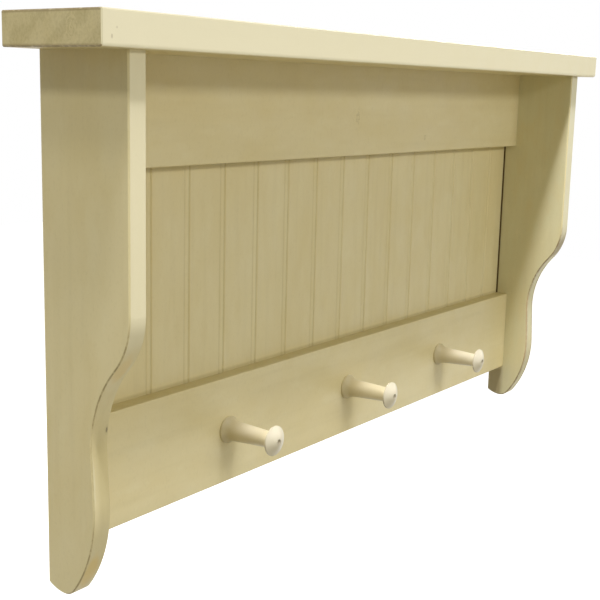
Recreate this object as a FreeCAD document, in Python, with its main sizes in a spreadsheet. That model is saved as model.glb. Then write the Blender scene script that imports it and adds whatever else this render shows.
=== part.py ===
import FreeCAD, Part
import math
import os
import re
import Sketcher

# A painted pine wall shelf with a beadboard back and three turned pegs.
# It faces -Y, its back lies in the plane Y = 0, and Z points up.
# The origin is midway between the two keyholes in its back.

# Driving dimensions, in millimetres and degrees
sizes = {
    # shelf board
    "shelf_length": 914.0,
    "shelf_depth": 106.0,
    "shelf_thickness": 27.0,
    "shelf_easing": 1.0,
    "shelf_lower_easing": 3.2,
    "housing_depth": 6.0,
    # end panels, and how far the shelf stands past them
    "side_overhang": 36.0,
    "front_overhang": 10.0,
    "panel_thickness": 19.0,
    "panel_easing": 1.2,
    # scroll of an end panel, from its straight front edge down to its toe
    "shoulder_rise": 247.0,
    "shoulder_radius": 66.0,
    "scroll_recess": 43.6,
    "cove_radius": 103.0,
    "waist_run": 43.0,
    "waist_tilt": 3.0,
    "toe_radius": 15.5,
    "toe_depth_share": 0.34,
    "heel_rise": 5.2,
    # rails
    "rail_thickness": 16.0,
    "rail_easing": 1.5,
    "top_rail_height": 95.0,
    "bay_height": 206.0,
    "peg_rail_height": 105.5,
    "toe_drop": 42.0,
    # beadboard
    "board_thickness": 5.0,
    "board_side_gap": 2.2,
    "board_end_gap": 0.5,
    "bead_pitch": 50.8,
    "bead_width": 6.6,
    "bead_crown": 0.3,
    "groove_width": 1.2,
    "groove_depth": 1.0,
    # pegs
    "peg_spacing": 210.0,
    "peg_reach": 62.0,
    "peg_base_diameter": 27.0,
    "peg_waist_diameter": 19.6,
    "peg_neck_diameter": 15.5,
    "peg_head_diameter": 29.0,
    "peg_base_land": 1.8,
    "peg_flare": 10.0,
    "peg_head_length": 9.5,
    "peg_head_bevel": 3.2,
    "peg_rim": 1.2,
    "peg_crown_radius": 18.0,
    "dimple_diameter": 5.2,
    "dimple_depth": 2.0,
    "tenon_diameter": 12.7,
    "tenon_short": 1.0,
    # dowels between the rails and the end panels
    "dowel_diameter": 8.0,
    "dowel_length": 30.0,
    "dowel_in_panel": 12.0,
    "dowel_inset": 24.0,
    "glue_gap": 0.1,
    "hole_spare": 1.0,
    # screws and plugs that hold the shelf down
    "rear_screw_share": 0.25,
    "front_screw_share": 0.75,
    "screw_head_diameter": 8.0,
    "screw_head_height": 3.0,
    "screw_shank_diameter": 4.2,
    "screw_length": 45.0,
    "screw_clearance": 0.3,
    "thread_fit": 0.04,
    "plug_diameter": 9.5,
    "plug_length": 6.0,
    # keyhole hangers
    "hanger_drop": 75.0,
    "hanger_spacing": 406.4,
    "plate_width": 17.0,
    "plate_height": 48.0,
    "plate_thickness": 1.6,
    "plate_gap": 0.2,
    "keyhole_diameter": 10.0,
    "keyslot_width": 5.2,
    "keyslot_rise": 12.0,
    "head_room": 2.0,
    "head_room_depth": 5.0,
    "plate_screw_spacing": 38.0,
    "plate_hole_diameter": 3.4,
    "small_head_diameter": 6.0,
    "small_head_height": 1.5,
    "small_shank_diameter": 3.0,
    "small_screw_length": 16.0,
    # flat-sided brads through the beadboard, in a row near the foot of each rail
    "brad_count": 5,
    "brad_edge": 30.0,
    "brad_inset": 12.0,
    "brad_width": 1.3,
    "brad_thickness": 1.0,
    "brad_length": 16.0,
    # how far a cut runs past the face that it starts from
    "overrun": 2.0,
}

# Lengths that several pieces share, written in the driving dimensions
panel_depth = "(shelf_depth - front_overhang)"
half_inside = "(shelf_length / 2 - side_overhang - panel_thickness)"
panel_middle = "(shelf_length / 2 - side_overhang - panel_thickness / 2)"
peg_rail_top = "(top_rail_height + bay_height)"
peg_rail_foot = "(top_rail_height + bay_height + peg_rail_height)"
panel_foot = "(top_rail_height + bay_height + peg_rail_height + toe_drop)"
underside = "(hanger_drop - shelf_thickness)"
rail_middle_depth = "(board_thickness + rail_thickness / 2)"
screw_grip = "(shelf_thickness - housing_depth - plug_length - screw_head_height)"

doc = FreeCAD.newDocument("peg_shelf")
sheet = doc.addObject("Spreadsheet::Sheet", "Sizes")
for row, (alias, number) in enumerate(sizes.items(), start=1):
    sheet.set("A%d" % row, alias)
    sheet.set("B%d" % row, str(number))
    sheet.setAlias("B%d" % row, alias)
doc.recompute()


def bound(text):
    """The expression with every size's name pointing at its cell."""
    def cell(word):
        return "Sizes." + word.group() if word.group() in sizes else word.group()

    return re.sub(r"[a-z_]+", cell, text)


def value(text):
    """The number that an expression of sizes comes to."""
    result = sheet.evalExpression(bound(text))
    return float(getattr(result, "Value", result))


def bind(item, prop, text):
    """Tie a property to an expression of sizes."""
    item.setExpression(prop, bound(text))


# Sketch helpers

def new_body(label, x="0", y="0", z="0"):
    """A body whose place in the assembly follows the sizes."""
    body = doc.addObject("PartDesign::Body", label)
    body.Label = label
    for axis, text in (("x", x), ("y", y), ("z", z)):
        bind(body, "Placement.Base." + axis, text)
    return body


def origin_feature(body, role):
    """One of a body's own origin planes or axes."""
    return next(item for item in body.Origin.OriginFeatures if item.Role == role)


def new_sketch(body, plane, name, offset="0"):
    """A sketch on an origin plane of the body, moved along the plane's normal by the offset."""
    sketch = body.newObject("Sketcher::SketchObject", name)
    sketch.AttachmentSupport = (origin_feature(body, plane), [""])
    sketch.MapMode = "FlatFace"
    bind(sketch, "AttachmentOffset.Base.z", offset)
    return sketch


def fix_point(sketch, geometry, point, x, y):
    """Tie a point of a sketch to a place given by two expressions."""
    for kind, text in (("DistanceX", x), ("DistanceY", y)):
        index = sketch.addConstraint(Sketcher.Constraint(kind, -1, 1, geometry, point, value(text)))
        bind(sketch, "Constraints[%d]" % index, text)


def fix_size(sketch, kind, text, *places):
    """Tie a radius, diameter or length of a sketch to an expression."""
    index = sketch.addConstraint(Sketcher.Constraint(kind, *places, value(text)))
    bind(sketch, "Constraints[%d]" % index, text)


def outline(sketch, corners):
    """A closed outline through corners, each given by two expressions for its place. Where the piece
    that leaves a corner is an arc, its radius follows, and True if it bulges to the right."""
    points = [FreeCAD.Vector(value(corner[0]), value(corner[1]), 0) for corner in corners]
    pieces = []
    for corner, first, last in zip(corners, points, points[1:] + points[:1]):
        if corner[2:]:
            pieces.append(add_arc(sketch, first, last, *corner[2:]))
        else:
            pieces.append((sketch.addGeometry(Part.LineSegment(first, last), False), 1, 2))
    for (piece, _, end), (after, start, _) in zip(pieces, pieces[1:] + pieces[:1]):
        sketch.addConstraint(Sketcher.Constraint("Coincident", piece, end, after, start))
    for (piece, start, _), corner in zip(pieces, corners):
        fix_point(sketch, piece, start, corner[0], corner[1])


def add_arc(sketch, first, last, radius, to_right=False):
    """An arc that bulges to the left on its way from first to last, or to the right."""
    along = last - first
    chord = along.Length
    aside = FreeCAD.Vector(-along.y, along.x, 0) / chord
    bulge = value(radius) - math.sqrt(value(radius) ** 2 - (chord / 2) ** 2)
    crown = (first + last) / 2 + aside * (-bulge if to_right else bulge)
    index = sketch.addGeometry(Part.Arc(first, crown, last), False)
    fix_size(sketch, "Radius", radius, index)
    start = sketch.getPoint(index, 1)
    swapped = start.distanceToPoint(first) > start.distanceToPoint(last)
    return (index, 2, 1) if swapped else (index, 1, 2)


def rectangle(sketch, left, right, low, high):
    """A rectangle between four expressions."""
    outline(sketch, ((left, low), (right, low), (right, high), (left, high)))


def circle(sketch, diameter, x, y):
    """A circle of a given diameter about a given place."""
    centre = FreeCAD.Vector(value(x), value(y), 0)
    index = sketch.addGeometry(Part.Circle(centre, FreeCAD.Vector(0, 0, 1), value(diameter) / 2), False)
    fix_size(sketch, "Diameter", diameter, index)
    fix_point(sketch, index, 3, x, y)
    return index


def upright_slot(sketch, width, x, low, high):
    """A round-ended slot of a given width; low and high are the heights of its ends' centres."""
    half = value(width) / 2
    bottom = FreeCAD.Vector(value(x), value(low), 0)
    top = FreeCAD.Vector(value(x), value(high), 0)
    aside = FreeCAD.Vector(half, 0, 0)
    normal = FreeCAD.Vector(0, 0, 1)
    pieces = (
        Part.ArcOfCircle(Part.Circle(top, normal, half), 0, math.pi),
        Part.LineSegment(top - aside, bottom - aside),
        Part.ArcOfCircle(Part.Circle(bottom, normal, half), math.pi, 2 * math.pi),
        Part.LineSegment(bottom + aside, top + aside),
    )
    upper, left, lower, right = [sketch.addGeometry(piece, False) for piece in pieces]
    for piece, after in ((upper, left), (left, lower), (lower, right), (right, upper)):
        sketch.addConstraint(Sketcher.Constraint("Tangent", piece, 2, after, 1))
    fix_size(sketch, "Radius", "(" + width + ") / 2", lower)
    fix_point(sketch, lower, 3, x, low)
    fix_point(sketch, upper, 3, x, high)


def keyhole_slot(sketch, width, x, entry):
    """The slot above a keyhole's entry, at the entry's height."""
    upright_slot(sketch, width, x, entry, entry + " + keyslot_rise")


def plate_outline(sketch, margin, x, entry):
    """A hanger plate's round-ended outline about its keyhole, enlarged by a margin."""
    middle = entry + " + keyslot_rise / 2"
    reach = "(plate_height / 2 - plate_width / 2)"
    width = "plate_width + 2 * " + margin
    upright_slot(sketch, width, x, middle + " - " + reach, middle + " + " + reach)


def plate_screw_heights(entry):
    """The heights of a hanger plate's two screws, from the height of its keyhole's entry."""
    for sign in ("-", "+"):
        yield entry + " + keyslot_rise / 2 " + sign + " plate_screw_spacing / 2"


# Feature helpers

def pad(body, sketch, length, name, symmetric=False):
    """The sketch's area given a thickness."""
    feature = body.newObject("PartDesign::Pad", name)
    feature.Profile = sketch
    feature.SideType = "Symmetric" if symmetric else "One side"
    bind(feature, "Length", length)
    doc.recompute()
    return feature


def pocket(body, sketch, depth, name, along_normal=False):
    """The sketch's area cut away to a depth, against the sketch's normal or along it."""
    before = body.Shape.Volume
    feature = body.newObject("PartDesign::Pocket", name)
    feature.Profile = sketch
    feature.Reversed = along_normal
    bind(feature, "Length", depth)
    doc.recompute()
    check_cut(body, before, name)
    return feature


def check_cut(body, before, name):
    """A cut has to remove something."""
    if not body.Shape.Volume < before:
        raise RuntimeError(name + " removes nothing")


def repeat(body, features, axis, count, length, name):
    """Copies of the features in a row along an axis of the body, over a total length."""
    pattern = body.newObject("PartDesign::LinearPattern", name)
    pattern.Originals = features
    pattern.Direction = (origin_feature(body, axis), [""])
    bind(pattern, "Occurrences", count)
    bind(pattern, "Length", length)
    body.Tip = pattern
    doc.recompute()
    return pattern


def mirror(body, features, plane, name):
    """The features again on the other side of a plane of the body."""
    before = body.Shape.Volume
    mirrored = body.newObject("PartDesign::Mirrored", name)
    mirrored.Originals = features
    mirrored.MirrorPlane = (origin_feature(body, plane), [""])
    body.Tip = mirrored
    doc.recompute()
    check_cut(body, before, name)
    return mirrored


def ease(body, feature, amount, name, wanted, flat=False):
    """Round over, or plane off flat, the edges of a feature that the test picks by their bounds."""
    picked = [
        "Edge%d" % number
        for number, edge in enumerate(feature.Shape.Edges, start=1)
        if wanted(edge.BoundBox)
    ]
    dressed = body.newObject("PartDesign::Chamfer" if flat else "PartDesign::Fillet", name)
    dressed.Base = (feature, picked)
    bind(dressed, "Size" if flat else "Radius", amount)
    doc.recompute()
    return dressed


def near(first, second):
    """Whether two lengths are the same to within a small share of the shelf."""
    return abs(first - second) < value("shelf_length") * 1e-6


# Shelf board

def make_shelf_board():
    """The shelf, with a housing for each end panel and plugged screw holes over them."""
    body = new_body("shelf_board", z=underside)
    plan = new_sketch(body, "XY_Plane", "shelf_plan")
    rectangle(plan, "-shelf_length / 2", "shelf_length / 2", "-shelf_depth", "0")
    board = pad(body, plan, "shelf_thickness", "shelf_blank")

    def lower_front(box):
        return near(box.YMin, box.YMax) and near(box.ZMin, box.ZMax) and box.YMax < 0 and near(box.ZMax, 0)

    def crisp(box):
        at_wall = near(box.YMin, 0) and near(box.YMax, 0)
        at_end = near(box.XMin, box.XMax)
        upper_front = near(box.YMin, box.YMax) and near(box.ZMin, value("shelf_thickness"))
        return (at_end or upper_front) and not at_wall

    rounded = ease(body, board, "shelf_lower_easing", "shelf_lower_arris", lower_front)
    ease(body, rounded, "shelf_easing", "shelf_eased", crisp, flat=True)
    housings = new_sketch(body, "XY_Plane", "housing_plan")
    for side in ("-", ""):
        inner = side + "(" + panel_middle + " - panel_thickness / 2 - glue_gap)"
        outer = side + "(" + panel_middle + " + panel_thickness / 2 + glue_gap)"
        left, right = (outer, inner) if side else (inner, outer)
        rectangle(housings, left, right, "-(" + panel_depth + " + glue_gap)", "overrun")
    pocket(body, housings, "housing_depth", "housings", along_normal=True)
    counterbores = new_sketch(body, "XY_Plane", "plug_places", offset="shelf_thickness")
    clearances = new_sketch(body, "XY_Plane", "screw_places", offset="shelf_thickness")
    for x, y in screw_places():
        circle(counterbores, "plug_diameter + 2 * glue_gap", x, y)
        circle(clearances, "screw_shank_diameter + 2 * screw_clearance", x, y)
    pocket(body, counterbores, "plug_length + screw_head_height", "plug_bores")
    pocket(body, clearances, "shelf_thickness + overrun", "screw_clearances")
    return body


def screw_places():
    """The places of the shelf's screws, seen from above."""
    for side in ("-", ""):
        for share in ("rear_screw_share", "front_screw_share"):
            yield side + panel_middle, "-" + panel_depth + " * " + share


# End panels

def scroll_outline(sketch):
    """An end panel's outline, seen from its right side, with the front edge at the left."""
    depth = value(panel_depth)
    top = value("housing_depth")
    foot = -value(panel_foot)
    shoulder = value("shoulder_radius")
    cove = value("cove_radius")
    recess = value("scroll_recess")
    tilt = math.radians(value("waist_tilt"))
    toe = value("toe_radius")
    rise = value("heel_rise")
    waist = depth - recess
    turn = math.acos(1 - recess / (shoulder + cove))
    straight_end = foot + value("shoulder_rise")

    # corners and tangent points, as depth in front of the wall and height
    shoulder_centre = (depth - shoulder, straight_end)
    cove_centre = (waist + cove, straight_end - (shoulder + cove) * math.sin(turn))
    turning = (depth - shoulder * (1 - math.cos(turn)), straight_end - shoulder * math.sin(turn))
    waist_top = (cove_centre[0] - cove * math.cos(tilt), cove_centre[1] - cove * math.sin(tilt))
    run = value("waist_run")
    waist_foot = (waist_top[0] + run * math.sin(tilt), waist_top[1] - run * math.cos(tilt))
    toe_centre = (waist * value("toe_depth_share"), foot + toe)

    # the belly's arc leaves the waist and runs into the toe without a corner
    inward = (-math.cos(tilt), -math.sin(tilt))
    to_toe = (toe_centre[0] - waist_foot[0], toe_centre[1] - waist_foot[1])
    across = to_toe[0] * inward[0] + to_toe[1] * inward[1]
    belly = (to_toe[0] ** 2 + to_toe[1] ** 2 - toe ** 2) / (2 * (across - toe))
    belly_centre = (waist_foot[0] + belly * inward[0], waist_foot[1] + belly * inward[1])
    reach = (toe_centre[0] - belly_centre[0], toe_centre[1] - belly_centre[1])
    scale = belly / math.hypot(*reach)
    belly_foot = (belly_centre[0] + reach[0] * scale, belly_centre[1] + reach[1] * scale)
    toe_foot = (toe_centre[0], foot)
    heel = (toe_centre[0] ** 2 + rise ** 2) / (2 * rise)
    heel_centre = (toe_centre[0], foot + heel)
    heel_end = (0, foot + rise)

    def line(start, end):
        points = [FreeCAD.Vector(-point[0], point[1], 0) for point in (start, end)]
        return sketch.addGeometry(Part.LineSegment(*points), False)

    def arc(centre, radius, start, end):
        """An arc that runs anticlockwise from start to end as the sketch shows it."""
        around = Part.Circle(FreeCAD.Vector(-centre[0], centre[1], 0), FreeCAD.Vector(0, 0, 1), radius)
        angles = [math.atan2(point[1] - centre[1], centre[0] - point[0]) for point in (start, end)]
        return sketch.addGeometry(Part.ArcOfCircle(around, angles[0], angles[1] % (2 * math.pi)), False)

    head = line((0, top), (depth, top))
    front = line((depth, top), (depth, straight_end))
    shoulder_arc = arc(shoulder_centre, shoulder, (depth, straight_end), turning)
    cove_arc = arc(cove_centre, cove, waist_top, turning)
    waist_line = line(waist_top, waist_foot)
    belly_arc = arc(belly_centre, belly, waist_foot, belly_foot)
    toe_arc = arc(toe_centre, toe, belly_foot, toe_foot)
    heel_arc = arc(heel_centre, heel, toe_foot, heel_end)
    back = line(heel_end, (0, top))

    start, end, centre = 1, 2, 3
    joins = (
        ("Coincident", head, end, front, start),
        ("Tangent", front, end, shoulder_arc, start),
        ("Tangent", shoulder_arc, end, cove_arc, end),
        ("Tangent", cove_arc, start, waist_line, start),
        ("Tangent", waist_line, end, belly_arc, start),
        ("Tangent", belly_arc, end, toe_arc, start),
        ("Tangent", toe_arc, end, heel_arc, start),
        ("Coincident", heel_arc, end, back, start),
        ("Coincident", back, end, head, start),
        ("Vertical", toe_arc, centre, toe_arc, end),
        ("Vertical", front),
        ("Vertical", back),
    )
    for join in joins:
        sketch.addConstraint(Sketcher.Constraint(*join))
    fix_point(sketch, head, start, "0", "housing_depth")
    fix_point(sketch, head, end, "-" + panel_depth, "housing_depth")
    fix_size(sketch, "DistanceY", "shoulder_rise - " + panel_foot, -1, 1, front, end)
    fix_size(sketch, "Radius", "shoulder_radius", shoulder_arc)
    fix_size(sketch, "Radius", "cove_radius", cove_arc)
    fix_size(sketch, "DistanceX", "scroll_recess - cove_radius - " + panel_depth, -1, 1, cove_arc, centre)
    fix_size(sketch, "Distance", "waist_run", waist_line)
    fix_size(sketch, "DistanceX", "-waist_run * sin(waist_tilt * 1 deg)", waist_line, start, waist_line, end)
    fix_size(sketch, "Radius", "toe_radius", toe_arc)
    toe_depth = "-(" + panel_depth + " - scroll_recess) * toe_depth_share"
    fix_point(sketch, toe_arc, centre, toe_depth, "toe_radius - " + panel_foot)
    fix_size(sketch, "DistanceY", "heel_rise - " + panel_foot, -1, 1, back, start)


def make_end_panel(label, side):
    """An end panel; side is - for the left one and empty for the right one."""
    body = new_body(label, x=side + panel_middle, z=underside)
    outline = new_sketch(body, "YZ_Plane", label + "_outline")
    scroll_outline(outline)
    blank = pad(body, outline, "panel_thickness", label + "_blank", symmetric=True)

    def on_scroll(box):
        flat = near(box.XMin, box.XMax)
        at_top = near(box.ZMin, box.ZMax) and box.ZMin > 0
        at_wall = near(box.YMin, 0) and near(box.YMax, 0)
        return flat and not at_top and not at_wall

    ease(body, blank, "panel_easing", label + "_eased", on_scroll, flat=True)
    inner_face = "panel_thickness / 2" if side else "-panel_thickness / 2"
    bores = new_sketch(body, "YZ_Plane", label + "_dowel_places", offset=inner_face)
    for height in dowel_heights():
        circle(bores, "dowel_diameter + 2 * glue_gap", "-" + rail_middle_depth, height)
    pocket(body, bores, "dowel_in_panel + hole_spare", label + "_dowel_bores", along_normal=not side)
    pilots = new_sketch(body, "XY_Plane", label + "_pilot_places", offset="housing_depth")
    for share in ("rear_screw_share", "front_screw_share"):
        circle(pilots, "screw_shank_diameter + 2 * thread_fit", "0", "-" + panel_depth + " * " + share)
    pocket(body, pilots, "screw_length - " + screw_grip + " + hole_spare", label + "_pilots")
    return body


def dowel_heights():
    """The dowels' heights below the shelf, two in each rail."""
    yield "-dowel_inset"
    yield "-(top_rail_height - dowel_inset)"
    yield "-(" + peg_rail_top + " + dowel_inset)"
    yield "-(" + peg_rail_foot + " - dowel_inset)"


# Rails

def make_rail(label, height, drop):
    """A rail between the end panels, with its dowel bores; its own origin is its top back edge."""
    body = new_body(label, y="-board_thickness", z=underside + " - " + drop)
    section = new_sketch(body, "YZ_Plane", label + "_section")
    rectangle(section, "-rail_thickness", "0", "-" + height, "0")
    blank = pad(body, section, "2 * " + half_inside, label + "_blank", symmetric=True)
    at_shelf = near(value(drop), 0)

    def front_edge(box):
        at_front = near(box.YMin, box.YMax) and box.YMax < -value("rail_thickness") / 2
        lengthwise = box.XMax > 0 > box.XMin
        return at_front and lengthwise and not (at_shelf and near(box.ZMax, 0))

    ease(body, blank, "rail_easing", label + "_eased", front_edge)
    bores = new_sketch(body, "YZ_Plane", label + "_dowel_places", offset=half_inside)
    for place in ("-dowel_inset", "-(" + height + " - dowel_inset)"):
        circle(bores, "dowel_diameter + 2 * glue_gap", "-rail_thickness / 2", place)
    depth = "dowel_length - dowel_in_panel + hole_spare"
    cut = pocket(body, bores, depth, label + "_dowel_bores")
    mirror(body, [cut], "YZ_Plane", label + "_dowel_bores_mirrored")
    brads = new_sketch(body, "XZ_Plane", label + "_brad_place")
    brad_hole(brads, "brad_inset - " + height)
    pilot = pocket(body, brads, "brad_length - board_thickness", label + "_brad_pilot", along_normal=True)
    repeat(body, [pilot], "X_Axis", "brad_count", brad_row, label + "_brad_pilots")
    return body


first_brad = "-(" + half_inside + " - brad_edge)"
brad_row = "2 * (" + half_inside + " - brad_edge)"


def brad_hole(sketch, height):
    """The flat-sided hole of the first brad in a row at a given height."""
    across = " (brad_width / 2 + thread_fit)"
    upright = " (brad_thickness / 2 + thread_fit)"
    left, right = first_brad + " -" + across, first_brad + " +" + across
    rectangle(sketch, left, right, height + " -" + upright, height + " +" + upright)


def make_top_rail():
    """The rail under the shelf, with room behind each hanger for a screw's head."""
    body = make_rail("top_rail", "top_rail_height", "0")
    room = new_sketch(body, "XZ_Plane", "rail_head_room")
    keyhole_slot(room, "keyhole_diameter + head_room", "hanger_spacing / 2", "shelf_thickness - hanger_drop")
    cut = pocket(body, room, "head_room_depth", "rail_head_rooms", along_normal=True)
    mirror(body, [cut], "YZ_Plane", "rail_head_rooms_mirrored")
    screws = new_sketch(body, "XZ_Plane", "rail_plate_screws")
    for x in ("-hanger_spacing / 2", "hanger_spacing / 2"):
        for height in plate_screw_heights("shelf_thickness - hanger_drop"):
            circle(screws, "small_shank_diameter + 2 * thread_fit", x, height)
    pocket(body, screws, "small_screw_length - board_thickness", "rail_plate_pilots", along_normal=True)
    return body


def make_peg_rail():
    """The lower rail, bored through for the three pegs."""
    body = make_rail("peg_rail", "peg_rail_height", peg_rail_top)
    places = new_sketch(body, "XZ_Plane", "peg_places")
    for x in ("-peg_spacing", "0", "peg_spacing"):
        circle(places, "tenon_diameter + 2 * glue_gap", x, "-peg_rail_height / 2")
    pocket(body, places, "rail_thickness + overrun", "peg_bores", along_normal=True)
    return body


# Beadboard

def make_beadboard():
    """The beaded back panel, behind both rails."""
    body = new_body("beadboard_panel", z=underside + " - board_end_gap")
    half_width = "(" + half_inside + " - board_side_gap)"
    height = "(" + peg_rail_foot + " - 2 * board_end_gap)"
    plan = new_sketch(body, "XY_Plane", "board_plan", offset="-" + height)
    rectangle(plan, "-" + half_width, half_width, "-board_thickness", "0")
    pad(body, plan, height, "board_blank")
    side_beads = "floor(" + half_width + " / bead_pitch)"
    bead_row = "2 * " + side_beads + " * bead_pitch"
    bead = new_sketch(body, "XY_Plane", "bead_section")
    bead_section(bead, "-(" + bead_row + ") / 2")
    cut = pocket(body, bead, height, "bead")
    repeat(body, [cut], "X_Axis", "2 * " + side_beads + " + 1", bead_row, "beads")
    entry = "shelf_thickness - hanger_drop + board_end_gap"
    recess = new_sketch(body, "XZ_Plane", "plate_recess")
    plate_outline(recess, "plate_gap", "hanger_spacing / 2", entry)
    first = pocket(body, recess, "plate_thickness", "plate_recesses", along_normal=True)
    room = new_sketch(body, "XZ_Plane", "board_head_room")
    keyhole_slot(room, "keyhole_diameter + head_room", "hanger_spacing / 2", entry)
    second = pocket(body, room, "board_thickness + overrun", "board_head_rooms", along_normal=True)
    mirror(body, [first, second], "YZ_Plane", "hanger_seats_mirrored")
    screws = new_sketch(body, "XZ_Plane", "board_plate_screws")
    for x in ("-hanger_spacing / 2", "hanger_spacing / 2"):
        for place in plate_screw_heights(entry):
            circle(screws, "small_shank_diameter + 2 * thread_fit", x, place)
    pocket(body, screws, "board_thickness + overrun", "board_plate_pilots", along_normal=True)
    brads = new_sketch(body, "XZ_Plane", "board_brad_places")
    for drop in brad_drops():
        brad_hole(brads, "board_end_gap - " + drop)
    cut = pocket(body, brads, "board_thickness + overrun", "board_brad_pilot", along_normal=True)
    repeat(body, [cut], "X_Axis", "brad_count", brad_row, "board_brad_pilots")
    return body


def brad_drops():
    """The two rows of brads, one near the foot of each rail, as depths below the shelf."""
    yield "(top_rail_height - brad_inset)"
    yield "(" + peg_rail_foot + " - brad_inset)"


def bead_section(sketch, middle):
    """Two sloped grooves with a low round bead between them, open at the board's face."""
    face = "-board_thickness"
    floor = "(groove_depth - board_thickness)"
    outside = "-board_thickness - overrun"
    half = "(bead_width / 2)"
    edge = "(bead_width / 2 + groove_width)"
    rise = "(groove_depth - bead_crown)"
    radius = "(" + half + " ^ 2 + " + rise + " ^ 2) / (2 * " + rise + ")"
    left, right = middle + " - ", middle + " + "
    outline(sketch, (
        (right + edge, face), (right + edge, outside), (left + edge, outside), (left + edge, face),
        (left + half, floor, radius, True), (right + half, floor),
    ))


# Pegs

def make_peg(label, x):
    """A turned peg: tenon, swept base, long taper, narrow neck and a mushroom head with a dimple."""
    height = underside + " - " + peg_rail_top + " - peg_rail_height / 2"
    body = new_body(label, x=x, y="-(board_thickness + rail_thickness)", z=height)
    turning = new_sketch(body, "XY_Plane", label + "_turning")
    tenon = "tenon_diameter / 2"
    inside = "(rail_thickness - tenon_short)"
    base = "peg_base_diameter / 2"
    step = "(peg_base_diameter / 2 - peg_waist_diameter / 2)"
    flare_radius = "(peg_flare ^ 2 + " + step + " ^ 2) / (2 * " + step + ")"
    head = "peg_head_diameter / 2"
    head_start = "(peg_reach - peg_head_length)"
    rim_start = "(peg_reach - peg_head_length + peg_head_bevel)"
    rim_end = "(peg_reach - peg_head_length + peg_head_bevel + peg_rim)"

    # the crown is part of a ball about the axis, which the straight side behind it meets smoothly
    ball = "(peg_reach - sqrt(peg_crown_radius ^ 2 - dimple_diameter ^ 2 / 4))"
    ahead = "(" + rim_end + " - " + ball + ")"
    span = "sqrt(peg_head_diameter ^ 2 / 4 + " + ahead + " ^ 2)"
    turn = "(atan2(" + ahead + "; " + head + ") + acos(peg_crown_radius / " + span + "))"
    crown_foot = ("peg_crown_radius * cos" + turn, "-(" + ball + " + peg_crown_radius * sin" + turn + ")")
    outline(turning, (
        ("0", inside),
        (tenon, inside),
        (tenon, "0"),
        (base, "0"),
        (base, "-peg_base_land", flare_radius, True),
        ("peg_waist_diameter / 2", "-(peg_base_land + peg_flare)"),
        ("peg_neck_diameter / 2", "-" + head_start),
        (head, "-" + rim_start),
        (head, "-" + rim_end),
        (*crown_foot, "peg_crown_radius"),
        ("dimple_diameter / 2", "-peg_reach"),
        ("0", "-(peg_reach - dimple_depth)"),
    ))
    revolution = body.newObject("PartDesign::Revolution", label + "_turned")
    revolution.Profile = turning
    revolution.ReferenceAxis = (turning, ["V_Axis"])
    revolution.Angle = 360
    doc.recompute()
    return body


# Hanger plates

def make_hanger_plate(label, side):
    """A flat steel plate with a keyhole and two countersunk holes, flush in the back."""
    body = new_body(label, x=side + "hanger_spacing / 2")
    outline = new_sketch(body, "XZ_Plane", label + "_outline")
    plate_outline(outline, "0", "0", "0")
    pad(body, outline, "plate_thickness", label + "_blank")
    entry = new_sketch(body, "XZ_Plane", label + "_entry")
    circle(entry, "keyhole_diameter", "0", "0")
    pocket(body, entry, "plate_thickness + overrun", label + "_entry_hole", along_normal=True)
    slot = new_sketch(body, "XZ_Plane", label + "_slot")
    keyhole_slot(slot, "keyslot_width", "0", "0")
    pocket(body, slot, "plate_thickness + overrun", label + "_key_slot", along_normal=True)
    holes = new_sketch(body, "XZ_Plane", label + "_screw_places")
    for height in plate_screw_heights("0"):
        circle(holes, "plate_hole_diameter", "0", height)
    countersink(body, holes, label + "_screw_holes")
    return body


def countersink(body, sketch, name):
    """Screw holes that widen at the back face to take a flat head."""
    before = body.Shape.Volume
    hole = body.newObject("PartDesign::Hole", name)
    hole.Profile = sketch
    doc.recompute()
    hole.Threaded = False
    hole.ThreadType = "None"
    hole.DepthType = "ThroughAll"
    hole.HoleCutType = "Countersink"
    hole.HoleCutCustomValues = True
    hole.Reversed = True
    bind(hole, "Diameter", "plate_hole_diameter")
    bind(hole, "HoleCutDiameter", "small_head_diameter + 2 * thread_fit")
    hole.HoleCutCountersinkAngle = 90
    doc.recompute()
    check_cut(body, before, name)


# Fasteners and dowels

def turned_form(label, profile):
    """A loose piece turned about the Y axis, from a profile of radii and places along it."""
    body = new_body(label)
    sketch = new_sketch(body, "XY_Plane", label + "_turning")
    outline(sketch, profile)
    revolution = body.newObject("PartDesign::Revolution", label + "_turned")
    revolution.Profile = sketch
    revolution.ReferenceAxis = (sketch, ["V_Axis"])
    revolution.Angle = 360
    doc.recompute()
    return body


def scatter(label, form, places, turn=None):
    """One node that holds a copy of the form at each place, turned first if a rotation is given."""
    turn = turn or FreeCAD.Rotation()
    copies = []
    for place in places:
        spot = FreeCAD.Vector(*[value(text) for text in place])
        copy = form.Shape.copy()
        copy.Placement = FreeCAD.Placement(spot, turn)
        copies.append(copy)
    group = doc.addObject("Part::Feature", label)
    group.Label = label
    group.Shape = Part.makeCompound(copies)
    group.Placement = FreeCAD.Placement()
    return group


def make_dowels():
    """Eight dowels, half in a rail's end and half in an end panel."""
    radius = "dowel_diameter / 2"
    form = turned_form("dowel_form", (
        ("0", "0"), (radius, "0"), (radius, "dowel_length"), ("0", "dowel_length"),
    ))
    left_start = "-(" + half_inside + " + dowel_in_panel)"
    right_start = half_inside + " + dowel_in_panel - dowel_length"
    places = [
        (start, "-" + rail_middle_depth, underside + " + " + height)
        for start in (left_start, right_start)
        for height in dowel_heights()
    ]
    along_rail = FreeCAD.Rotation(FreeCAD.Vector(0, 0, 1), -90)
    return scatter("rail_dowels", form, places, along_rail)


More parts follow.
